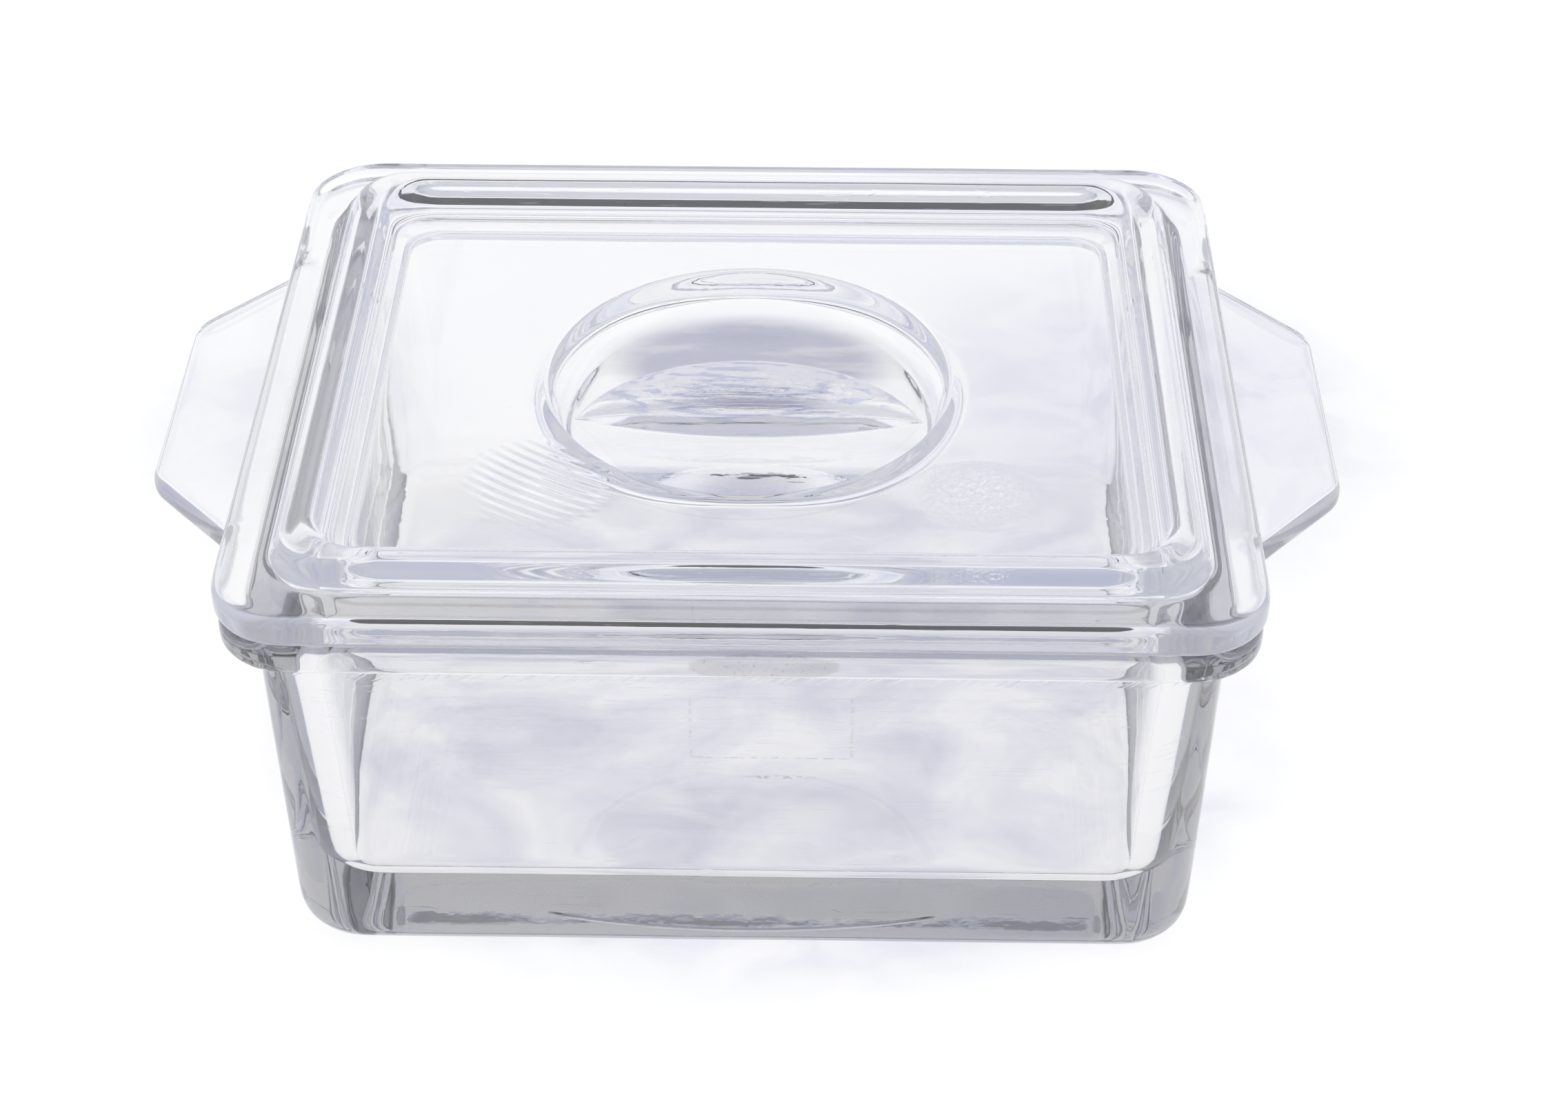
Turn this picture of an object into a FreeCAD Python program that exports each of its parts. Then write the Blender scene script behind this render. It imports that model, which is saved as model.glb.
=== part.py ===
import FreeCAD, Part
import math
import os
from FreeCAD import Vector

# Rectangular pressed-glass butter dish with a lift-off lid.
# Millimetres, +Z up, the long side along X, the front towards -Y.
# Origin: centre of the face that the dish stands on.

os.makedirs("parts", exist_ok=True)

# Lid flange: the flat border that rests on the dish rim
FLANGE_LENGTH = 165.0
FLANGE_WIDTH = 139.5
FLANGE_CORNER = 12.2
FLANGE_THICK = 5.8
FLANGE_ROUND = 1.7

# Dish rim, the thickened lip round the opening
RIM_INSET = 0.5            # rim outline inside the flange outline
RIM_CORNER = 11.6
RIM_TOP = 70.6
RIM_THICK = 5.7
RIM_ROUND = 1.9
SEAT_GAP = 0.1             # pressed faces never meet all round

# Dish body below the rim
BODY_INSET = 5.2           # body wall inside the flange outline, at the rim
BODY_DRAFT = 0.030         # inward lean per millimetre of depth
BODY_CORNER = 11.0
BODY_FOOT_ROUND = 6.5
WALL = 6.3
FLOOR_THICK = 13.0
CAVITY_DRAFT = 0.050
CAVITY_CORNER = 7.0
CAVITY_FOOT_ROUND = 4.5
MOUTH_ROUND = 1.2
MOUTH_SPARE = 0.2          # how far the flared mouth runs above the rim

# Tab handles, one on each short side
HANDLE_REACH = 16.5        # beyond the rim
HANDLE_THICK = 4.3
HANDLE_DROP = 0.5          # handle top below the rim top
HANDLE_ROOT = 47.0         # half length along Y where the tab leaves the rim
HANDLE_ROOT_ARC = 14.0
HANDLE_LEAN = 42.0         # degrees between the tab's slanted ends and Y
HANDLE_CORNER = 7.0
HANDLE_ROUND = 1.7
HANDLE_BITE = 5.0          # how far the tab runs into the rim

# Raised stacking ridge round the lid
RIDGE_HEIGHT = 4.0
RIDGE_OUT_FOOT = 8.3       # inside the flange outline
RIDGE_OUT_TOP = 10.6
RIDGE_IN_TOP = 14.6
RIDGE_IN_FOOT = 16.8
RIDGE_CORNER = 9.0
RIDGE_ROUND = 1.5
PANEL_DROP = 1.0           # sunken panel below the flange top
PANEL_THICK = 5.5

# Locating lip under the lid; it drops loosely into the dish opening
LIP_INSET = 15.0           # inside the flange outline
LIP_WIDTH = 4.2
LIP_DEPTH = 3.6
LIP_TAPER = 0.6
LIP_CORNER = 6.5

# Sunk finger grip: a round well crossed by an arched bar
WELL_RADIUS = 34.5
WELL_FOOT_RADIUS = 31.0
WELL_DEPTH = 9.4           # at the middle, below the panel
WELL_RISE = 5.5            # how much shallower the floor is at the front and back
WELL_GLASS = 4.8           # glass left under the well
WELL_SIDE_SHARE = 0.6      # how much of that is left round its sides
BAR_HALF_LENGTH = 30.0
BAR_HALF_WIDTH = 4.8
BAR_HEIGHT = 12.2

HALF_X = FLANGE_LENGTH / 2.0
HALF_Y = FLANGE_WIDTH / 2.0
RIM_BOTTOM = RIM_TOP - RIM_THICK
FLANGE_BOTTOM = RIM_TOP + SEAT_GAP
FLANGE_TOP = FLANGE_BOTTOM + FLANGE_THICK
PANEL_TOP = FLANGE_TOP - PANEL_DROP
PANEL_BOTTOM = PANEL_TOP - PANEL_THICK
SPARE = 2.0                # how far a cutting tool runs past the face it opens


def rounded_outline(inset, corner, z):
    """Rectangle with round corners, set in from the flange outline."""
    hx = HALF_X - inset
    hy = HALF_Y - inset
    mid = corner * (1.0 - math.sqrt(0.5))
    edges = []
    for sx, sy in ((1, 1), (-1, 1), (-1, -1), (1, -1)):
        along_x = Vector(sx * (hx - corner), sy * hy, z)
        along_y = Vector(sx * hx, sy * (hy - corner), z)
        middle = Vector(sx * (hx - mid), sy * (hy - mid), z)
        first, last = (along_y, along_x) if sx * sy > 0 else (along_x, along_y)
        if edges:
            edges.append(Part.makeLine(edges[-1].Vertexes[-1].Point, first))
        edges.append(Part.Arc(first, middle, last).toShape())
    edges.append(Part.makeLine(edges[-1].Vertexes[-1].Point, edges[0].Vertexes[0].Point))
    return Part.Wire(edges)


def tapered_block(lower, upper):
    """Solid between two rounded outlines, each given as (inset, corner, z)."""
    return Part.makeLoft([rounded_outline(*lower), rounded_outline(*upper)], True, True)


def level_edges(shape, z):
    """Every edge of a shape that lies flat at one height."""
    found = []
    for edge in shape.Edges:
        box = edge.BoundBox
        if abs(box.ZMin - z) < 1e-4 and abs(box.ZMax - z) < 1e-4:
            found.append(edge)
    return found


def round_levels(shape, radius, *levels):
    """Round the flat-lying edges of a shape at the given heights."""
    for z in levels:
        shape = shape.makeFillet(radius, level_edges(shape, z))
    return shape


def dish_body():
    foot_inset = BODY_INSET + BODY_DRAFT * RIM_BOTTOM
    top = RIM_BOTTOM + SPARE
    body = tapered_block(
        (foot_inset, BODY_CORNER, 0.0),
        (BODY_INSET - BODY_DRAFT * SPARE, BODY_CORNER, top),
    )
    return round_levels(body, BODY_FOOT_ROUND, 0.0)


def dish_rim():
    rim = tapered_block((RIM_INSET, RIM_CORNER, RIM_BOTTOM), (RIM_INSET, RIM_CORNER, RIM_TOP))
    return round_levels(rim, RIM_ROUND, RIM_BOTTOM, RIM_TOP)


def dish_cavity():
    """Tool that hollows the dish: drafted walls, rounded foot, flared mouth."""
    top = RIM_TOP + SPARE
    depth = top - FLOOR_THICK
    mouth_inset = BODY_INSET + WALL
    cavity = tapered_block(
        (mouth_inset + CAVITY_DRAFT * depth, CAVITY_CORNER, FLOOR_THICK),
        (mouth_inset, CAVITY_CORNER, top),
    )
    cavity = round_levels(cavity, CAVITY_FOOT_ROUND, FLOOR_THICK)
    flare_foot = RIM_TOP - MOUTH_ROUND
    flare = tapered_block(
        (mouth_inset + CAVITY_DRAFT * MOUTH_ROUND, CAVITY_CORNER, flare_foot),
        (mouth_inset - MOUTH_ROUND, CAVITY_CORNER + MOUTH_ROUND, RIM_TOP + MOUTH_SPARE),
    )
    return cavity.fuse(flare)


def handle(side):
    """Flat tab with slanted ends that curve into the rim. side is +1 or -1."""
    rim_x = HALF_X - RIM_INSET
    reach_x = rim_x + HANDLE_REACH
    inner_x = rim_x - HANDLE_BITE
    lean = math.radians(HANDLE_LEAN)
    arc_x = rim_x + HANDLE_ROOT_ARC * (1.0 - math.cos(lean))
    arc_y = HANDLE_ROOT - HANDLE_ROOT_ARC * math.sin(lean)
    mid_x = rim_x + HANDLE_ROOT_ARC * (1.0 - math.cos(lean / 2.0))
    mid_y = HANDLE_ROOT - HANDLE_ROOT_ARC * math.sin(lean / 2.0)
    tip_y = arc_y - (reach_x - arc_x) / math.tan(lean)
    cut = HANDLE_CORNER * math.tan(lean / 2.0)
    slant_x = reach_x - cut * math.sin(lean)
    slant_y = tip_y + cut * math.cos(lean)
    bulge_x = reach_x - HANDLE_CORNER * (1.0 - math.cos(lean / 2.0))
    bulge_y = tip_y - cut + HANDLE_CORNER * math.sin(lean / 2.0)
    bottom = RIM_TOP - HANDLE_DROP - HANDLE_THICK

    def at(x, y):
        return Vector(side * x, y, bottom)

    edges = [Part.makeLine(at(reach_x, -(tip_y - cut)), at(reach_x, tip_y - cut))]
    for y in (1, -1):
        corner = (at(reach_x, y * (tip_y - cut)), at(bulge_x, y * bulge_y), at(slant_x, y * slant_y))
        root = (at(arc_x, y * arc_y), at(mid_x, y * mid_y), at(rim_x, y * HANDLE_ROOT))
        edges.append(Part.Arc(*corner).toShape())
        edges.append(Part.makeLine(corner[-1], root[0]))
        edges.append(Part.Arc(*root).toShape())
        edges.append(Part.makeLine(root[-1], at(inner_x, y * HANDLE_ROOT)))
    edges.append(Part.makeLine(at(inner_x, HANDLE_ROOT), at(inner_x, -HANDLE_ROOT)))
    outline = Part.Wire(Part.__sortEdges__(edges))
    tab = Part.Face(outline).extrude(Vector(0, 0, HANDLE_THICK))
    return round_levels(tab, HANDLE_ROUND, bottom, bottom + HANDLE_THICK)


def dish():
    solid = dish_body().fuse([dish_rim(), handle(1), handle(-1)])
    return solid.cut(dish_cavity()).removeSplitter()


def lid_plate():
    """Flange with the raised ridge round it and the sunken panel inside."""
    flange = tapered_block((0.0, FLANGE_CORNER, FLANGE_BOTTOM), (0.0, FLANGE_CORNER, FLANGE_TOP))
    flange = round_levels(flange, FLANGE_ROUND, FLANGE_BOTTOM, FLANGE_TOP)
    ridge_top = FLANGE_TOP + RIDGE_HEIGHT
    lean = (RIDGE_OUT_TOP - RIDGE_OUT_FOOT) / RIDGE_HEIGHT
    ridge = tapered_block(
        (RIDGE_OUT_FOOT - lean, RIDGE_CORNER, FLANGE_TOP - 1.0),
        (RIDGE_OUT_TOP, RIDGE_CORNER, ridge_top),
    )
    ridge = round_levels(ridge, RIDGE_ROUND, ridge_top)
    basin_depth = ridge_top - PANEL_TOP
    slope = (RIDGE_IN_FOOT - RIDGE_IN_TOP) / basin_depth
    basin = tapered_block(
        (RIDGE_IN_FOOT, RIDGE_CORNER, PANEL_TOP),
        (RIDGE_IN_TOP - slope * SPARE, RIDGE_CORNER, ridge_top + SPARE),
    )
    basin = round_levels(basin, RIDGE_ROUND, PANEL_TOP)
    return flange.fuse(ridge).cut(basin)


def lid_lip():
    """Ring under the lid that keeps it from sliding off the dish."""
    bottom = FLANGE_BOTTOM - LIP_DEPTH
    outer = tapered_block(
        (LIP_INSET + LIP_TAPER, LIP_CORNER, bottom),
        (LIP_INSET, LIP_CORNER, FLANGE_BOTTOM + SPARE),
    )
    outer = round_levels(outer, LIP_TAPER * 2.0, bottom)
    inner = tapered_block(
        (LIP_INSET + LIP_WIDTH - LIP_TAPER, LIP_CORNER, bottom - SPARE),
        (LIP_INSET + LIP_WIDTH, LIP_CORNER, PANEL_BOTTOM),
    )
    return outer.cut(inner)


def well(grow, top):
    """Round grip well, or with grow the glass that surrounds it."""
    floor = PANEL_TOP - WELL_DEPTH - grow
    height = top - floor
    lean = (WELL_RADIUS - WELL_FOOT_RADIUS) / WELL_DEPTH
    foot = WELL_FOOT_RADIUS + grow * WELL_SIDE_SHARE
    cone = Part.makeCone(foot, foot + lean * height, height, Vector(0, 0, floor))
    half_span = WELL_RADIUS + 3.0 * SPARE
    bend = (half_span ** 2 + WELL_RISE ** 2) / (2.0 * WELL_RISE)
    trough = Part.makeCylinder(bend, 2.0 * half_span, Vector(-half_span, 0, floor + bend), Vector(1, 0, 0))
    return cone.common(trough)


def grip_bar():
    """Arched bar, pointed at both ends: a spindle stretched upwards."""
    tip = Vector(BAR_HALF_LENGTH, 0, 0)
    arc = Part.Arc(-tip, Vector(0, 0, BAR_HALF_WIDTH), tip).toShape()
    face = Part.Face(Part.Wire([arc, Part.makeLine(tip, -tip)]))
    spindle = face.revolve(Vector(0, 0, 0), Vector(1, 0, 0), 360)
    stretch = FreeCAD.Matrix()
    stretch.scale(1.0, 1.0, BAR_HEIGHT / BAR_HALF_WIDTH)
    spindle = spindle.transformGeometry(stretch)
    spindle.translate(Vector(0, 0, PANEL_TOP - WELL_DEPTH))
    reach = 2.0 * BAR_HALF_LENGTH
    corner = Vector(-reach / 2.0, -reach / 2.0, PANEL_TOP - WELL_DEPTH - WELL_GLASS / 2.0)
    return spindle.common(Part.makeBox(reach, reach, reach, corner))


def lid():
    solid = lid_plate().fuse([lid_lip(), well(WELL_GLASS, PANEL_TOP - 1.0)])
    solid = solid.cut(well(0.0, PANEL_TOP + SPARE))
    return solid.fuse(grip_bar()).removeSplitter()


def single_solid(shape, name):
    """The one solid in a shape; anything else is a modelling mistake."""
    if len(shape.Solids) != 1 or not shape.Solids[0].isValid():
        raise RuntimeError(name + " is not one sound solid")
    return shape.Solids[0]


for node, shape in (("dish", dish()), ("lid", lid())):
    solid = single_solid(shape, node)
    solid.exportStep("parts/" + node + ".step")
    box = solid.optimalBoundingBox(False)
    print(node, round(solid.Volume / 1000.0, 1), "cm3", round(box.XLength, 1), round(box.YLength, 1),
          round(box.ZMin, 2), round(box.ZMax, 2))
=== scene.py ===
import math

import bpy
import numpy as np
from mathutils import Matrix, Vector, noise


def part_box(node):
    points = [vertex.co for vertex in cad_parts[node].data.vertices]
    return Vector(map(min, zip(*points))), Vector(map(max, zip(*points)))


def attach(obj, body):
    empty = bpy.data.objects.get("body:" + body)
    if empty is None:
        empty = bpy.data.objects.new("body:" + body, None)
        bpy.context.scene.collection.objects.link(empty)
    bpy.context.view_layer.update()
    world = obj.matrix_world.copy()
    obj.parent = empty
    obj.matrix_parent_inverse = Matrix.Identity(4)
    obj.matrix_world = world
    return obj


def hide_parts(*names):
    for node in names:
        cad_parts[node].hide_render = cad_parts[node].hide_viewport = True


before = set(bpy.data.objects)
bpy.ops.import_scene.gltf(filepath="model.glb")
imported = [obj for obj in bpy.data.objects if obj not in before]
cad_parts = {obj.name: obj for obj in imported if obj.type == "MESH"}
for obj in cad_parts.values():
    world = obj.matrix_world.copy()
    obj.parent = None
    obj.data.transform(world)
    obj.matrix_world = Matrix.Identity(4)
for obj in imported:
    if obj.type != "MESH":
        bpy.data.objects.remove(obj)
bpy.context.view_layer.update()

# A clear pressed-glass butter dish and its lift-off lid. Lengths are in millimetres until a mesh is made.
MM = 0.001

dish_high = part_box("dish")[1] / MM
lid_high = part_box("lid")[1] / MM
HALF_X = lid_high.x            # flange outline, which insets are measured from
HALF_Y = lid_high.y
FRONT = -HALF_Y                # where the flange's front edge is
RIM_TOP = dish_high.z

# Dish sections, in the order its skin runs: foot, wall, rim, cavity
RIM_INSET = HALF_Y - dish_high.y
RIM_THICK = 5.7
RIM_BOTTOM = RIM_TOP - RIM_THICK
RIM_CORNER = 11.6
RIM_ROUND = 1.9
RIM_FLAT = 3.4                 # how far in the rim's flat faces are followed
WALL_INSET = 5.2
WALL_DRAFT = 0.030
WALL_CORNER = 11.0
UNDERCUT_ROUND = 1.0
FOOT_ROUND = 6.5
CAVITY_INSET = 11.5
CAVITY_DRAFT = 0.050
CAVITY_CORNER = 7.0
CAVITY_ROUND = 4.5
FLOOR = 13.0
MOUTH_ROUND = 1.4

# Tab handles
TAB_REACH = dish_high.x - (HALF_X - RIM_INSET)
TAB_THICK = 4.3
TAB_TOP = RIM_TOP - 0.5
TAB_BOTTOM = TAB_TOP - TAB_THICK
TAB_ROUND = 1.7
TAB_ROOT = 47.0                # half length along Y where the tab leaves the rim
TAB_ROOT_ARC = 14.0
TAB_CORNER = 7.0
TAB_LEAN = math.radians(42.0)
TAB_TAKEOVER = 2.5             # reach at which the tab's section has fully replaced the rim's

# Lid sections
FLANGE_THICK = 5.8
FLANGE_BOTTOM = RIM_TOP + 0.1
FLANGE_TOP = FLANGE_BOTTOM + FLANGE_THICK
FLANGE_CORNER = 12.2
FLANGE_ROUND = 1.7
RIDGE_TOP = lid_high.z
RIDGE_CORNER = 9.0
RIDGE_OUT_FOOT = 8.3
RIDGE_OUT_TOP = 10.6
RIDGE_IN_TOP = 14.6
PANEL_THICK = 5.5
PANEL_TOP = FLANGE_TOP - 1.0
PANEL_BOTTOM = PANEL_TOP - PANEL_THICK
PANEL_INSET = 16.8
LIP_INSET = 15.0
LIP_WIDTH = 4.2
LIP_DEPTH = 3.6
LIP_BOTTOM = FLANGE_BOTTOM - LIP_DEPTH
LIP_CORNER = 6.5
LIP_ROUND = 1.2
LIP_FILLET = 1.0

# Sunk grip: a round well crossed by an arched bar
WELL_RADIUS = 34.5
WELL_FOOT = 31.0
WELL_DEPTH = 9.4
WELL_FLOOR = PANEL_TOP - WELL_DEPTH
WELL_RISE = 5.5                # how much higher the floor is at the front and back than in the middle
BAR_LENGTH = 30.0
BAR_WIDTH = 4.8
BAR_HEIGHT = 12.2
SWELL_GLASS = 5.6              # underside of the well: a bowl along X, this far below its floor
SWELL_CURVE = 0.0085           # how fast the bowl rises to the front and back, per mm
SWELL_FULL = 30.5              # radius where its side begins and radius where it ends
SWELL_END = 36.5

CORNER_STEPS = 10
LONG_STEPS = 34
ROUND_STEPS = 5
WELL_STEPS = 9
FLAT_SHARES = (0.12, 0.3, 0.5, 0.7, 0.85, 0.95)    # loops that fill a flat face, as shares of its outline
WAVES = ((0.06, 26), (0.012, 9))    # height and width of the shallow waves in every face

# The camera stands in front and above, turned a little to the left, with a longish lens
CAMERA_PLACE = (12.6, -447.9, 376.75)
CAMERA_LENS = 72.8
CAMERA_YAW = math.radians(-0.84)
CAMERA_PITCH = math.radians(37.24)
CAMERA_ROLL = math.radians(-0.10)


# ---------------------------------------------------------------- outlines

def tab_outline(y):
    """How far the tab stands out of the rim side at a place along Y, and how far its edge has turned."""
    arc_dx = TAB_ROOT_ARC * (1 - math.cos(TAB_LEAN))
    arc_y = TAB_ROOT - TAB_ROOT_ARC * math.sin(TAB_LEAN)
    straight_y = arc_y - (TAB_REACH - arc_dx) / math.tan(TAB_LEAN) - TAB_CORNER * math.tan(TAB_LEAN / 2)
    slant_y = straight_y + TAB_CORNER * math.sin(TAB_LEAN)
    t = abs(y)
    if t <= straight_y:
        return TAB_REACH, 0.0
    if t <= slant_y:
        turn = math.asin((t - straight_y) / TAB_CORNER)
        return TAB_REACH - TAB_CORNER * (1 - math.cos(turn)), turn
    if t <= arc_y:
        return arc_dx + (arc_y - t) * math.tan(TAB_LEAN), TAB_LEAN
    if t <= TAB_ROOT:
        turn = math.asin((TAB_ROOT - t) / TAB_ROOT_ARC)
        return TAB_ROOT_ARC * (1 - math.cos(turn)), turn
    return 0.0, 0.0


def short_side_places():
    """Places along the upper half of a short side, closer together where the tab outline bends."""
    straight = np.linspace(0, 18, 5)
    corner = np.linspace(18, 26, 7)[1:]
    slant = np.linspace(26, 37, 4)[1:]
    root = np.linspace(37, 49, 8)[1:]
    end = HALF_Y - RIM_INSET - RIM_CORNER
    return np.concatenate([straight, corner, slant, root, [53, end]]) / end


def stations():
    """Where each point of a loop sits: on the core rectangle (-1..1), with its outward normal."""
    up = short_side_places()
    across = np.linspace(1, -1, LONG_STEPS + 1)
    bend = np.radians(np.linspace(0, 90, CORNER_STEPS + 1))[1:-1]
    quarter = np.pi / 2
    both_ways = np.concatenate([up[::-1], -up[1:]])
    sides = [
        (np.ones_like(up), up, np.zeros_like(up)),
        (np.ones_like(bend), np.ones_like(bend), bend),
        (across, np.ones_like(across), np.full_like(across, quarter)),
        (-np.ones_like(bend), np.ones_like(bend), quarter + bend),
        (-np.ones_like(both_ways), both_ways, np.full_like(both_ways, 2 * quarter)),
        (-np.ones_like(bend), -np.ones_like(bend), 2 * quarter + bend),
        (-across, -np.ones_like(across), np.full_like(across, 3 * quarter)),
        (np.ones_like(bend), -np.ones_like(bend), 3 * quarter + bend),
        (np.ones(len(up) - 1), -up[:0:-1], np.zeros(len(up) - 1)),
    ]
    core_x, core_y, angle = (np.concatenate(column) for column in zip(*sides))
    return core_x, core_y, np.cos(angle), np.sin(angle)


CORE_X, CORE_Y, NORMAL_X, NORMAL_Y = stations()


def flat_loop(inset, corner):
    """Rounded rectangle, set in from the flange outline."""
    x = CORE_X * (HALF_X - inset - corner) + corner * NORMAL_X
    y = CORE_Y * (HALF_Y - inset - corner) + corner * NORMAL_Y
    return x, y


def ring(inset, corner, z):
    """Level loop in the shape of a rounded rectangle."""
    x, y = flat_loop(inset, corner)
    return np.stack([x, y, np.full_like(x, z)], 1)


# Directions of the panel's points from the centre, so that round loops join up with the panel
PANEL_X, PANEL_Y = flat_loop(PANEL_INSET, RIDGE_CORNER)
AROUND = np.arctan2(PANEL_Y, PANEL_X)


def circle(radius, z):
    """Level round loop."""
    x = radius * np.cos(AROUND)
    y = radius * np.sin(AROUND)
    return np.stack([x, y, np.full_like(x, z)], 1)


def mix(a, b, share):
    """From a at share 0 to b at share 1."""
    return a * (1 - share) + b * share


def soft_step(share):
    """0 to 1 with level ends."""
    return share * share * (3 - 2 * share)


def arc(steps, start, end):
    """Cosine and sine pairs from one angle to another, in degrees."""
    angles = np.radians(np.linspace(start, end, steps + 1))
    return list(zip(np.cos(angles), np.sin(angles)))


# ---------------------------------------------------------------- mesh

WELD_REACH = 0.002         # points of a crest line's two sides this close, in mm, become one


def loft(rings, close_end):
    """Points and faces of a skin through rings, from a pole at the first to a pole or a crest at the last."""
    count = len(rings[0])
    points = np.concatenate([rings[0].mean(0)[None]] + rings)
    faces = []
    for i in range(count):
        j = (i + 1) % count
        faces.append((0, 1 + j, 1 + i))
        for k in range(len(rings) - 1):
            low = 1 + k * count
            high = low + count
            faces.append((low + i, low + j, high + j, high + i))
    if close_end:
        last = 1 + (len(rings) - 1) * count
        points = np.concatenate([points, rings[-1].mean(0)[None]])
        faces += [(last + i, last + (i + 1) % count, len(points) - 1) for i in range(count)]
    return points, faces


def shell(name, rings, body, node, material, close_end=True):
    """One glass piece. Rings with an open end finish in a crest line, whose two sides are welded."""
    points, faces = loft(rings, close_end)
    mesh = bpy.data.meshes.new(name)
    mesh.from_pydata((points * MM).tolist(), [], faces)
    mesh.validate()
    add_waviness(mesh)
    piece = bpy.data.objects.new(name, mesh)
    bpy.context.scene.collection.objects.link(piece)
    for polygon in mesh.polygons:
        polygon.use_smooth = True
    mesh.materials.append(material)
    if not close_end:
        weld = piece.modifiers.new("seam", "WELD")
        weld.merge_threshold = WELD_REACH * MM
    smooth = piece.modifiers.new("smooth", "SUBSURF")
    smooth.levels = smooth.render_levels = 1
    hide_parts(node)
    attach(piece, body)


def add_waviness(mesh):
    """Pressed glass is never quite flat: long, shallow waves over every face."""
    moves = []
    for vertex in mesh.vertices:
        place = vertex.co / MM
        height = sum(high * noise.noise(place / wide) for high, wide in WAVES)
        moves.append(vertex.normal * height * MM)
    for vertex, move in zip(mesh.vertices, moves):
        vertex.co += move


# ---------------------------------------------------------------- dish

def wall_inset(z):
    """The outer wall leans in towards the foot."""
    return WALL_INSET + WALL_DRAFT * (RIM_BOTTOM - z)


def foot_rings():
    """Flat underside, then the rounded lower edge."""
    edge = wall_inset(0) + FOOT_ROUND
    rings = []
    for share in FLAT_SHARES:
        rings.append(ring(edge + 3, WALL_CORNER - 3, 0) * (share, share, 1))
    rings.append(ring(edge + 1.5, WALL_CORNER - 3, 0))
    for c, s in arc(6, -90, 0):
        inset = wall_inset(FOOT_ROUND) + FOOT_ROUND * (1 - c)
        rings.append(ring(inset, WALL_CORNER - FOOT_ROUND * (1 - c) * 0.6, FOOT_ROUND * (1 + s)))
    return rings


def wall_rings():
    """The drafted outer wall and the small round where it meets the rim."""
    rings = []
    for z in np.linspace(FOOT_ROUND + 2, RIM_BOTTOM - UNDERCUT_ROUND, 9):
        rings.append(ring(wall_inset(z), WALL_CORNER, z))
    for c, s in arc(2, 45, 90):
        inset = WALL_INSET - UNDERCUT_ROUND * (1 - c)
        rings.append(ring(inset, WALL_CORNER, RIM_BOTTOM - UNDERCUT_ROUND * (1 - s)))
    return rings


def rim_profile():
    """Sections of the plain rim and of the tab, as (inset, z) pairs that belong together."""
    rim = [(RIM_FLAT, RIM_BOTTOM), (RIM_FLAT - 0.8, RIM_BOTTOM)]
    tab = [(RIM_FLAT, RIM_BOTTOM + 0.1), (0.2, TAB_BOTTOM)]
    for c, s in arc(ROUND_STEPS, -90, 0):
        rim.append((RIM_ROUND * (1 - c), RIM_BOTTOM + RIM_ROUND * (1 + s)))
        tab.append((TAB_ROUND * (1 - c), TAB_BOTTOM + TAB_ROUND * (1 + s)))
    for c, s in arc(ROUND_STEPS, 0, 90):
        rim.append((RIM_ROUND * (1 - c), RIM_TOP - RIM_ROUND * (1 - s)))
        tab.append((TAB_ROUND * (1 - c), TAB_TOP - TAB_ROUND * (1 - s)))
    rim += [(RIM_FLAT - 1.0, RIM_TOP), (RIM_FLAT, RIM_TOP)]
    tab += [(0.2, TAB_TOP), (1.6, RIM_TOP - 0.05)]
    on_tab = [False, False] + [True] * (2 * ROUND_STEPS + 2) + [False, False]
    return list(zip(rim, tab, on_tab))


def tab_ring(inset, z, stands_out):
    """Rim outline that swings out round both tabs, set in along its own normal."""
    outline = ring(RIM_INSET, RIM_CORNER, z)
    on_side = np.abs(NORMAL_X) > 0.999
    for i in np.flatnonzero(on_side):
        side = NORMAL_X[i]
        dx, turn = tab_outline(outline[i, 1])
        if not stands_out:
            dx, turn = 0.0, 0.0
        outline[i, 0] += side * (dx - inset * math.cos(turn))
        outline[i, 1] -= inset * math.sin(turn) * np.sign(outline[i, 1])
    return outline


def tab_share():
    """1 on the tabs, 0 on the plain rim, smooth across the roots."""
    outline = ring(RIM_INSET, RIM_CORNER, 0)
    share = np.zeros(len(outline))
    for i in np.flatnonzero(np.abs(NORMAL_X) > 0.999):
        reach = min(tab_outline(outline[i, 1])[0] / TAB_TAKEOVER, 1.0)
        share[i] = soft_step(reach)
    return share[:, None]


def rim_rings():
    """The thickened rim, which widens into a tab on either short side."""
    share = tab_share()
    rings = []
    for (rim_inset, rim_z), (tab_inset, tab_z), stands_out in rim_profile():
        plain = ring(RIM_INSET + rim_inset, RIM_CORNER - rim_inset * 0.3, rim_z)
        rings.append(mix(plain, tab_ring(tab_inset, tab_z, stands_out), share))
    return rings


def cavity_rings():
    """Rounded mouth, drafted walls, rounded lower edge and the floor."""
    inset = CAVITY_INSET
    rings = [ring(inset - MOUTH_ROUND - 2, CAVITY_CORNER + 2, RIM_TOP)]
    for c, s in arc(3, 90, 0):
        rings.append(ring(inset - MOUTH_ROUND * (1 - c), CAVITY_CORNER, RIM_TOP - MOUTH_ROUND * (1 - s)))
    wall_top = RIM_TOP - MOUTH_ROUND - 2
    wall_bottom = FLOOR + CAVITY_ROUND
    for z in np.linspace(wall_top, wall_bottom, 9):
        rings.append(ring(inset + CAVITY_DRAFT * (RIM_TOP - z), CAVITY_CORNER, z))
    foot = inset + CAVITY_DRAFT * (RIM_TOP - wall_bottom)
    for c, s in arc(5, 0, -90)[1:]:
        z = wall_bottom + CAVITY_ROUND * s
        rings.append(ring(foot + CAVITY_ROUND * (1 - c), CAVITY_CORNER - 2 * (1 - c), z))
    for share in reversed(FLAT_SHARES):
        rings.append(ring(foot + CAVITY_ROUND, CAVITY_CORNER - 2, FLOOR) * (share, share, 1))
    return rings


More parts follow.
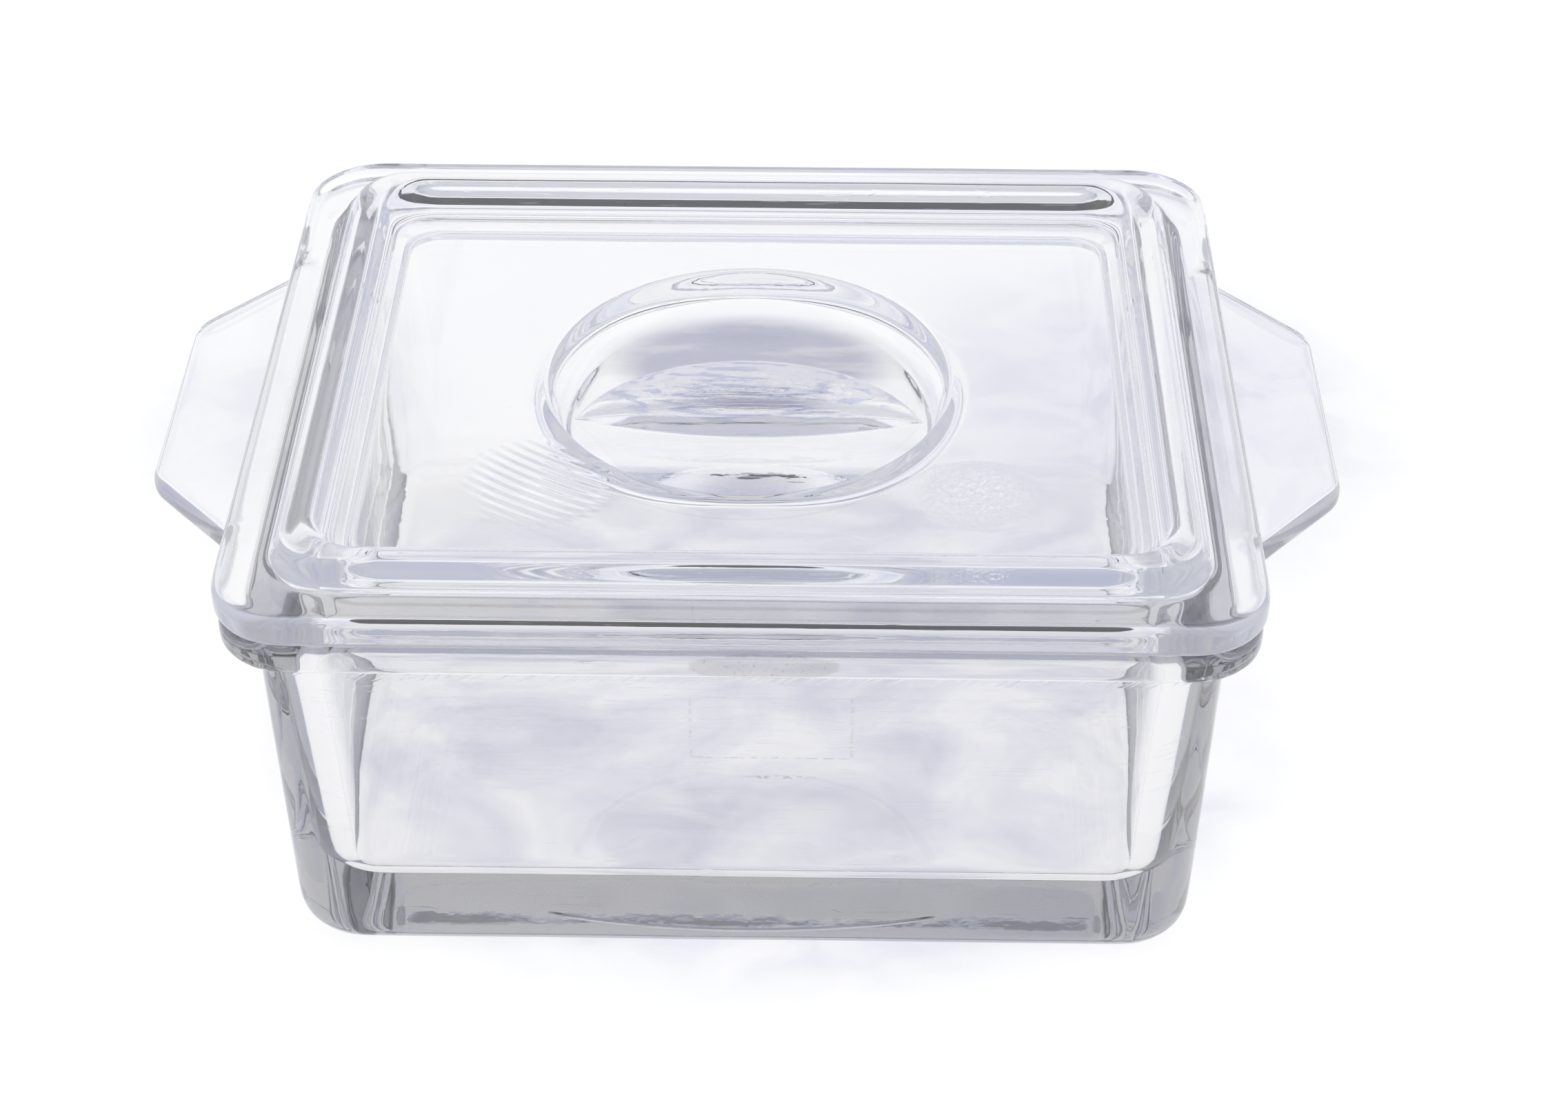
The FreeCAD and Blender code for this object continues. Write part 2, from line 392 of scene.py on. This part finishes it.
# ---------------------------------------------------------------- lid

def trough(points):
    """Lets a flat loop down on to the well's floor, which rises to the front and back."""
    sunk = points.copy()
    sunk[:, 2] = WELL_FLOOR + WELL_RISE * (points[:, 1] / WELL_RADIUS) ** 2
    return sunk


def well_side():
    """Loops down the side of the round well, with both edges rounded."""
    rings = []
    for share in np.linspace(0, 1, WELL_STEPS + 1):
        loop = circle(mix(WELL_RADIUS, WELL_FOOT, share), PANEL_TOP)
        rings.append(mix(loop, trough(loop), soft_step(share)))
    return rings


def swell_loop(radius):
    """Loop on the underside, which bellies down under the well to keep the glass thick there."""
    loop = circle(radius, 0)
    bowl = WELL_FLOOR - SWELL_GLASS + SWELL_CURVE * loop[:, 1] ** 2
    bowl = np.minimum(bowl, PANEL_BOTTOM)
    share = min(max((radius - SWELL_FULL) / (SWELL_END - SWELL_FULL), 0), 1)
    loop[:, 2] = mix(bowl, PANEL_BOTTOM, soft_step(share))
    return loop


def underside_rings():
    """The belly under the grip, the sunk panel's underside and the locating lip."""
    rings = [swell_loop(radius) for radius in (1, 5, 10, 15, 20, 24, 28, 30.5, 32, 33.5, 35, 36.5, 38)]
    outer = ring(LIP_INSET + LIP_WIDTH + 1.2, LIP_CORNER, PANEL_BOTTOM)
    for share in (0.0, 0.25, 0.5, 0.75, 1.0):
        rings.append(mix(circle(SWELL_END + 2, PANEL_BOTTOM), outer, share))
    inner = LIP_INSET + LIP_WIDTH
    for c, s in arc(3, 90, 0):
        rings.append(ring(inner + LIP_FILLET * (1 - c), LIP_CORNER, PANEL_BOTTOM - LIP_FILLET * (1 - s)))
    for c, s in arc(4, 180, 270):
        rings.append(ring(inner - LIP_ROUND * (1 + c), LIP_CORNER, LIP_BOTTOM + LIP_ROUND * (1 + s)))
    for c, s in arc(4, 270, 360):
        rings.append(ring(LIP_INSET + LIP_ROUND * (1 - c), LIP_CORNER, LIP_BOTTOM + LIP_ROUND * (1 + s)))
    for c, s in arc(3, 180, 90):
        inset = LIP_INSET - LIP_FILLET * (1 + c)
        rings.append(ring(inset, LIP_CORNER + 1, FLANGE_BOTTOM - LIP_FILLET * (1 - s)))
    return rings


def flange_rings():
    """The flat flange that lies on the rim, with rounded edges."""
    rings = [ring(9.0, FLANGE_CORNER - 3, FLANGE_BOTTOM), ring(4.0, FLANGE_CORNER - 1, FLANGE_BOTTOM)]
    for c, s in arc(ROUND_STEPS, -90, 0):
        rings.append(ring(FLANGE_ROUND * (1 - c), FLANGE_CORNER, FLANGE_BOTTOM + FLANGE_ROUND * (1 + s)))
    for c, s in arc(ROUND_STEPS, 0, 90):
        rings.append(ring(FLANGE_ROUND * (1 - c), FLANGE_CORNER, FLANGE_TOP - FLANGE_ROUND * (1 - s)))
    rings.append(ring(3.0, FLANGE_CORNER - 1, FLANGE_TOP))
    rings.append(ring(6.0, FLANGE_CORNER - 2, FLANGE_TOP))
    return rings


def ridge_rings():
    """The raised stacking ridge: leaning outer face, rounded top, inner face down to the panel."""
    profile = [
        (RIDGE_OUT_FOOT - 0.5, FLANGE_TOP), (RIDGE_OUT_FOOT + 0.1, FLANGE_TOP + 0.25),
        (RIDGE_OUT_FOOT + 0.6, FLANGE_TOP + 1.0), (RIDGE_OUT_FOOT + 1.3, FLANGE_TOP + 2.3),
        (RIDGE_OUT_TOP - 0.6, RIDGE_TOP - 0.8), (RIDGE_OUT_TOP, RIDGE_TOP - 0.3),
        (RIDGE_OUT_TOP + 0.9, RIDGE_TOP), (RIDGE_IN_TOP - 1.1, RIDGE_TOP),
        (RIDGE_IN_TOP - 0.2, RIDGE_TOP - 0.3), (RIDGE_IN_TOP + 0.4, RIDGE_TOP - 1.0),
        (RIDGE_IN_TOP + 1.1, RIDGE_TOP - 2.5), (PANEL_INSET - 0.5, PANEL_TOP + 1.0),
        (PANEL_INSET + 0.2, PANEL_TOP + 0.3), (PANEL_INSET + 1.1, PANEL_TOP),
    ]
    return [ring(inset, RIDGE_CORNER + (RIDGE_OUT_FOOT - inset) * 0.15, z) for inset, z in profile]


def bar_loop(share):
    """Loop round the bar: its pointed foot outline at 0, its crest line at 1."""
    along = np.cos(AROUND)
    across = np.sin(AROUND)
    length = BAR_LENGTH * (1 - 0.05 * share)
    x = length * along
    y = BAR_WIDTH * across * np.abs(across) * (1 - share)
    loop = trough(np.stack([x, y, np.zeros_like(x)], 1))
    loop[:, 2] += BAR_HEIGHT * np.abs(across) ** 1.2 * (1 - (1 - share) ** 2) ** 0.6
    return loop


def grip_rings():
    """From the flat panel into the round well and up the arched bar to its crest."""
    panel = ring(PANEL_INSET + 2.5, RIDGE_CORNER - 1, PANEL_TOP)
    lip = circle(WELL_RADIUS + 1.0, PANEL_TOP)
    rings = [mix(panel, lip, share) for share in (0.0, 0.25, 0.5, 0.75, 0.95)]
    rings += well_side()
    foot = circle(WELL_FOOT, 0)
    for share in (0.1, 0.25, 0.42, 0.6, 0.76, 0.88, 0.95, 0.985):
        rings.append(trough(mix(foot, bar_loop(0), share)))
    rings += [bar_loop(share) for share in (0.0, 0.03, 0.09, 0.18, 0.3, 0.44, 0.6, 0.78, 0.92, 1.0)]
    return rings


# ---------------------------------------------------------------- nodes

def wire(tree, socket, value):
    """Links a socket to another, or gives it a plain value."""
    if isinstance(value, bpy.types.NodeSocket):
        tree.links.new(value, socket)
    else:
        socket.default_value = value


def add(tree, kind, settings=None, **inputs):
    """New node. Inputs are named with _ for a space and take a socket or a value."""
    made = tree.nodes.new(kind)
    for name, value in (settings or {}).items():
        setattr(made, name, value)
    for name, value in inputs.items():
        wire(tree, made.inputs[name.replace("_", " ")], value)
    return made


def calc(tree, operation, *values):
    """Result of one operation on sockets or values."""
    made = tree.nodes.new("ShaderNodeMath")
    made.operation = operation
    for socket, value in zip(made.inputs, values):
        wire(tree, socket, value)
    return made.outputs[0]


def total(tree, *values):
    """Sum of sockets or values."""
    result = values[0]
    for value in values[1:]:
        result = calc(tree, "ADD", result, value)
    return result


def times(tree, *values):
    """Product of sockets or values."""
    result = values[0]
    for value in values[1:]:
        result = calc(tree, "MULTIPLY", result, value)
    return result


def fade(tree, value, low, high, out_low=0.0, out_high=1.0):
    """Smooth step from one value to another."""
    made = add(tree, "ShaderNodeMapRange", {"interpolation_type": "SMOOTHSTEP"}, Value=value,
               From_Min=low, From_Max=high, To_Min=out_low, To_Max=out_high)
    return made.outputs["Result"]


def blend(tree, share, a, b):
    """From colour a at share 0 to colour b at share 1."""
    made = add(tree, "ShaderNodeMix", {"data_type": "RGBA"}, Factor=share)
    wire(tree, made.inputs["A"], a)
    wire(tree, made.inputs["B"], b)
    return made.outputs["Result"]


def ramp(tree, value, low, low_colour, high, high_colour):
    """Colour that goes from one to another as a value goes from low to high."""
    made = add(tree, "ShaderNodeValToRGB", Fac=value)
    for stop, place, colour in zip(made.color_ramp.elements, (low, high), (low_colour, high_colour)):
        stop.position = place
        stop.color = (*colour, 1)
    return made.outputs["Color"]


def millimetres(tree):
    """Place on the object, in millimetres."""
    place = add(tree, "ShaderNodeTexCoord").outputs["Object"]
    scaled = add(tree, "ShaderNodeVectorMath", {"operation": "SCALE"}, Vector=place, Scale=1 / MM)
    return scaled.outputs[0]


def stretched(tree, place, centre, size):
    """Place measured from a centre, in units of a size along each axis."""
    shifted = add(tree, "ShaderNodeVectorMath", {"operation": "SUBTRACT"})
    wire(tree, shifted.inputs[0], place)
    shifted.inputs[1].default_value = centre
    divided = add(tree, "ShaderNodeVectorMath", {"operation": "DIVIDE"})
    wire(tree, divided.inputs[0], shifted.outputs[0])
    divided.inputs[1].default_value = size
    return divided.outputs[0]


def grain(tree, place, size, detail=2.0, distortion=0.0):
    """Cloudy noise, 0 to 1, whose lumps are about size millimetres along each axis."""
    spread = stretched(tree, place, (0, 0, 0), size)
    made = add(tree, "ShaderNodeTexNoise", Vector=spread, Scale=1.0, Detail=detail, Distortion=distortion)
    return made.outputs["Fac"]


def zone(tree, place, centre, reach, soft=0.5):
    """1 inside an ellipsoid, fading to 0 at its surface."""
    away = add(tree, "ShaderNodeVectorMath", {"operation": "LENGTH"},
               Vector=stretched(tree, place, centre, reach))
    return fade(tree, away.outputs["Value"], 1 - soft, 1, 1, 0)


# ---------------------------------------------------------------- materials

ANY = 500.0                    # reach along an axis that a mark doesn't depend on
WHITE = (1, 1, 1, 1)
OLD_GLUE = (0.50, 0.475, 0.43, 1)
# Painted reflection: bluish lines in the grip bar's colour
REFLECTED_STREAK_BLUE = (0.44, 0.50, 0.72, 1)
# Painted shade for the well floor behind the grip bar
WELL_SHADE = (0.36, 0.365, 0.48, 1)
# Painted shade for the flange's front edge
FRONT_EDGE_SHADE = (0.60, 0.59, 0.585, 1)
CLOUD_SHADE = (0.66, 0.67, 0.77, 1)


def clear_glass(name, density, tint):
    """Thick clear glass with a faint neutral tint through its body."""
    material = bpy.data.materials.new(name)
    material.use_nodes = True
    tree = material.node_tree
    tree.nodes.clear()
    skin = add(tree, "ShaderNodeBsdfPrincipled", Base_Color=WHITE, Transmission_Weight=1.0,
               IOR=1.51, Roughness=0.0)
    body = add(tree, "ShaderNodeVolumeAbsorption", Color=(*tint, 1), Density=density)
    out = add(tree, "ShaderNodeOutputMaterial")
    wire(tree, out.inputs["Surface"], skin.outputs["BSDF"])
    wire(tree, out.inputs["Volume"], body.outputs["Volume"])
    return material, tree, skin


def relief(tree, skin, height):
    """Small shapes in the surface, with heights in millimetres."""
    bump = add(tree, "ShaderNodeBump", Strength=1.0, Distance=MM, Height=height)
    wire(tree, skin.inputs["Normal"], bump.outputs["Normal"])


def pressed_texture(tree, place):
    """What every face has: slight unevenness and hairline scratches."""
    uneven = times(tree, grain(tree, place, (3.5, 3.5, 3.5)), 0.008)
    lines = grain(tree, place, (22, 22, 0.55), 1.0, 1.5)
    scratch = times(tree, fade(tree, lines, 0.66, 0.70), fade(tree, grain(tree, place, (9, 9, 9)), 0.5, 0.62))
    return total(tree, uneven, times(tree, scratch, 0.006))


def glue_smear(tree, place):
    """Ragged smear of old label glue on the front of the rim."""
    middle = zone(tree, place, (4, FRONT, RIM_TOP - 2.8), (17, 8, 3.4), 1.0)
    ragged = times(tree, grain(tree, place, (5, 5, 2), 4.0), 0.5)
    return fade(tree, total(tree, middle, ragged), 0.42, 0.52)


def label_ghost(tree, place, fine):
    """Broken outline of a label that was once on the front wall."""
    label_x = 5
    label_z = 51.5
    spread = stretched(tree, place, (label_x, 0, label_z), (13, 1, 6.5))
    sides = add(tree, "ShaderNodeSeparateXYZ", Vector=spread)
    edge = calc(tree, "MAXIMUM", calc(tree, "ABSOLUTE", sides.outputs["X"]),
                calc(tree, "ABSOLUTE", sides.outputs["Z"]))
    outline = times(tree, fade(tree, edge, 0.95, 0.985), fade(tree, edge, 0.985, 1.02, 1, 0))
    on_front = zone(tree, place, (label_x, FRONT + 4, label_z), (ANY, 4, ANY), 0.2)
    return times(tree, outline, on_front, fade(tree, fine, 0.42, 0.6))


def rub_mark(tree, place, fine):
    """Short level scuff under the label's place."""
    line = zone(tree, place, (6, FRONT + 4, 41), (9, 4, 0.6), 0.5)
    return times(tree, line, fade(tree, fine, 0.45, 0.55))


def shear_marks(tree, place):
    """Short slanting lines where the front wall meets the rim."""
    slant = add(tree, "ShaderNodeVectorRotate", {"rotation_type": "Y_AXIS"}, Vector=place,
                Angle=math.radians(32)).outputs["Vector"]
    lines = fade(tree, grain(tree, slant, (9, 9, 0.5), 1.0), 0.5, 0.66)
    return times(tree, lines, zone(tree, place, (0, FRONT + 4, RIM_BOTTOM - 1.5), (ANY, 5, 3.2), 0.6))


def mould_line(tree, place):
    """Faint curved mould line low on the front: an arc of a large circle about a point above the dish."""
    circle_z = 154
    circle_radius = 148.0
    away = add(tree, "ShaderNodeVectorMath", {"operation": "LENGTH"},
               Vector=stretched(tree, place, (0, 0, circle_z), (1, ANY, 1))).outputs["Value"]
    off_line = calc(tree, "ABSOLUTE", calc(tree, "SUBTRACT", away, circle_radius))
    return times(tree, fade(tree, off_line, 0.1, 0.5, 1, 0),
                 zone(tree, place, (0, FRONT + 8, 8), (34, 12, 8), 0.3))


def dish_material():
    """Thick clear glass with the marks of age on the dish's front."""
    material, tree, skin = clear_glass("dish_glass", 23.0, (0.735, 0.735, 0.745))
    place = millimetres(tree)
    fine = grain(tree, place, (1.1, 1.1, 0.7), 3.0)
    glue = glue_smear(tree, place)
    specks = times(tree, glue, fade(tree, grain(tree, place, (0.5, 0.5, 0.5)), 0.62, 0.7))
    outline = label_ghost(tree, place, fine)
    rub = rub_mark(tree, place, fine)
    marks = total(tree, times(tree, total(tree, specks, glue), 0.5), times(tree, outline, 0.4),
                  times(tree, rub, 0.9))
    wire(tree, skin.inputs["Base Color"], blend(tree, marks, WHITE, OLD_GLUE))
    wire(tree, skin.inputs["Roughness"], times(tree, marks, 0.25))
    height = total(tree, pressed_texture(tree, place), times(tree, shear_marks(tree, place), 0.1),
                   times(tree, glue, fine, 0.012), times(tree, outline, 0.02),
                   times(tree, mould_line(tree, place), 0.3))
    relief(tree, skin, height)
    return material


def chill_ripples(tree, place):
    """Curved wavelets in the panel, left of the grip and in front of it."""
    spread = stretched(tree, place, (2, 26, 0), (1, 1, 1))
    swirl = add(tree, "ShaderNodeTexWave", {"wave_type": "RINGS", "rings_direction": "Z"}, Vector=spread,
                Scale=0.16, Distortion=4.5, Detail=3.0, Detail_Scale=0.15)
    return times(tree, swirl.outputs["Fac"], zone(tree, place, (-33, -31, PANEL_TOP), (14, 14, 1.5), 0.8))


def orange_peel(tree, place):
    """Fine pebbling in the panel, right of the grip and in front of it."""
    return times(tree, grain(tree, place, (0.9, 1.3, 1.3), 1.0),
                 zone(tree, place, (38, -34, PANEL_TOP), (11, 10, 1.5), 0.7))


def painted_well_shade(tree, place):
    """Painted shade: the floor of the well behind the bar gets a darker grey-blue tint, in patches."""
    behind = zone(tree, place, (0, 15, WELL_FLOOR + 2.2), (29, 15.5, 4.2), 0.35)
    return times(tree, behind, fade(tree, grain(tree, place, (14, 3, 3), 3.0), 0.25, 0.5, 0.75, 1))


def lid_material():
    """Thick clear glass, with streaks in the grip bar and ripples in the panel; painted bluish reflection in
    the bar's streaks, painted shade on the well floor behind the bar and a flange front edge painted grey as
    shade.
    """
    material, tree, skin = clear_glass("lid_glass", 22.0, (0.86, 0.865, 0.885))
    place = millimetres(tree)

    # Streaks along the grip bar: bumps in the surface, with painted bluish reflection lines in their colour
    bar_middle = (0, 0, WELL_FLOOR + BAR_HEIGHT * 0.6)
    on_bar = zone(tree, place, bar_middle, (BAR_LENGTH + 1, 8, BAR_HEIGHT * 0.62), 0.3)
    streaks = grain(tree, place, (14, 0.9, 0.9), 4.0, 0.3)
    painted_streak_reflection = times(tree, fade(tree, streaks, 0.52, 0.6), on_bar, 0.8)

    # Painted shade: the flange's front edge gets a darker grey tint
    edge = zone(tree, place, (0, FRONT, (FLANGE_BOTTOM + FLANGE_TOP) / 2), (ANY, 2.4, 3.6), 0.5)

    cast = blend(tree, painted_streak_reflection, WHITE, REFLECTED_STREAK_BLUE)
    cast = blend(tree, painted_well_shade(tree, place), cast, WELL_SHADE)
    cast = blend(tree, times(tree, edge, 0.8), cast, FRONT_EDGE_SHADE)
    wire(tree, skin.inputs["Base Color"], cast)
    height = total(tree, pressed_texture(tree, place), times(tree, chill_ripples(tree, place), 0.22),
                   times(tree, orange_peel(tree, place), 0.35), times(tree, streaks, on_bar, 0.22))
    relief(tree, skin, height)
    return material


def floor_material():
    """White table, lit evenly; under the glass lie soft lavender clouds of light."""
    material = bpy.data.materials.new("floor_white")
    material.use_nodes = True
    tree = material.node_tree
    skin = tree.nodes["Principled BSDF"]
    place = millimetres(tree)
    clouds = grain(tree, place, (26, 18, 20), 6.0, 0.8)
    for x, y in ((-40, 62), (46, 60)):
        dark = zone(tree, place, (x, y, 0), (26, 15, ANY), 0.9)
        clouds = calc(tree, "SUBTRACT", clouds, times(tree, dark, 0.2))
    tint = ramp(tree, clouds, 0.34, (0.66, 0.67, 0.79), 0.62, (0.96, 0.96, 1.0))
    near = zone(tree, place, (4, 2, 0), (HALF_X * 1.22, HALF_Y * 1.14, ANY), 0.3)
    right = zone(tree, place, (78, 98, 0), (74, 76, ANY), 0.9)
    left = zone(tree, place, (-98, 92, 0), (45, 60, ANY), 0.9)
    shade = calc(tree, "MAXIMUM", right, times(tree, left, 0.6))
    shade = times(tree, shade, fade(tree, clouds, 0.35, 0.62, 1.0, 0.55))
    soft = blend(tree, shade, WHITE, CLOUD_SHADE)
    skin.inputs["Base Color"].default_value = (0.25, 0.25, 0.25, 1)
    skin.inputs["Roughness"].default_value = 0.9
    skin.inputs["Specular IOR Level"].default_value = 0.0
    wire(tree, skin.inputs["Emission Color"], blend(tree, near, soft, tint))
    skin.inputs["Emission Strength"].default_value = 0.84
    return material


# ---------------------------------------------------------------- studio

def make_floor():
    """Large square that lies just clear of the dish's foot."""
    mesh = bpy.data.meshes.new("floor")
    half_side = 4000 * MM
    corners = [(x * half_side, y * half_side, 0) for x, y in ((-1, -1), (1, -1), (1, 1), (-1, 1))]
    mesh.from_pydata(corners, [], [(0, 1, 2, 3)])
    mesh.materials.append(floor_material())
    floor = bpy.data.objects.new("floor", mesh)
    floor.location.z = -0.3 * MM
    bpy.context.scene.collection.objects.link(floor)


def patch(tree, direction, towards, inner, outer, level):
    """A round patch of the surroundings with its own level. Sizes are angles in degrees."""
    facing = add(tree, "ShaderNodeVectorMath", {"operation": "DOT_PRODUCT"})
    wire(tree, facing.inputs[0], direction)
    facing.inputs[1].default_value = Vector(towards).normalized()
    rim = math.cos(math.radians(outer))
    core = math.cos(math.radians(inner))
    return fade(tree, facing.outputs["Value"], rim, core, 1, level)


def make_sky():
    """Soft white surroundings with lavender cloud, dimmer behind the camera and in a band beyond the dish.

    Seen directly by the camera they have no dim places.
    """
    world = bpy.data.worlds.new("sky")
    bpy.context.scene.world = world
    world.use_nodes = True
    tree = world.node_tree
    tree.nodes.clear()
    direction = add(tree, "ShaderNodeTexCoord").outputs["Generated"]
    clouds = add(tree, "ShaderNodeTexNoise", Vector=direction, Scale=2.2, Detail=3.0).outputs["Fac"]
    sky = ramp(tree, clouds, 0.35, (0.74, 0.77, 0.96), 0.62, (1.0, 1.0, 1.0))
    behind = patch(tree, direction, (0.0, -0.75, 0.66), 16, 38, 0.75)
    band = zone(tree, direction, (0.0, 0.62, 0.785), (0.85, 0.5, 0.07), 0.3)
    beyond = fade(tree, band, 0, 1, 1.0, 0.12)
    seen_directly = add(tree, "ShaderNodeLightPath").outputs["Is Camera Ray"]
    level = calc(tree, "MAXIMUM", times(tree, behind, beyond), seen_directly)
    light = add(tree, "ShaderNodeBackground", Color=blend(tree, level, (0, 0, 0, 1), sky), Strength=1.0)
    out = add(tree, "ShaderNodeOutputWorld")
    wire(tree, out.inputs["Surface"], light.outputs["Background"])


def make_camera():
    """Full-frame camera at the named place, turned by the named angles."""
    data = bpy.data.cameras.new("camera")
    data.sensor_width = 36.0
    data.lens = CAMERA_LENS
    camera = bpy.data.objects.new("camera", data)
    level = math.cos(CAMERA_PITCH)
    forward = Vector((math.sin(CAMERA_YAW) * level, math.cos(CAMERA_YAW) * level, -math.sin(CAMERA_PITCH)))
    turn = forward.to_track_quat("-Z", "Y") @ Matrix.Rotation(-CAMERA_ROLL, 3, "Z").to_quaternion()
    camera.rotation_mode = "QUATERNION"
    camera.rotation_quaternion = turn
    camera.location = Vector(CAMERA_PLACE) * MM
    bpy.context.scene.collection.objects.link(camera)
    bpy.context.scene.camera = camera


def set_look():
    """Plain colours, and enough bounces for light to pass through both pieces."""
    scene = bpy.context.scene
    scene.view_settings.view_transform = "Standard"
    scene.cycles.max_bounces = 24
    scene.cycles.transmission_bounces = 24
    scene.cycles.glossy_bounces = 8
    scene.cycles.blur_glossy = 0.3
    scene.cycles.sample_clamp_indirect = 4.0
    # Light that is still inside the glass after a few bounces gets a fixed level
    scene.cycles.use_fast_gi = True
    scene.cycles.fast_gi_method = "REPLACE"
    scene.cycles.ao_bounces_render = 5
    scene.world.light_settings.distance = 0.2 * MM
    scene.world.light_settings.ao_factor = 0.8


# ---------------------------------------------------------------- build

dish_skin = foot_rings() + wall_rings() + rim_rings() + cavity_rings()
lid_skin = underside_rings() + flange_rings() + ridge_rings() + grip_rings()
shell("glass_dish", dish_skin, "dish", "dish", dish_material())
shell("glass_lid", lid_skin, "lid", "lid", lid_material(), close_end=False)
make_floor()
make_sky()
make_camera()
set_look()
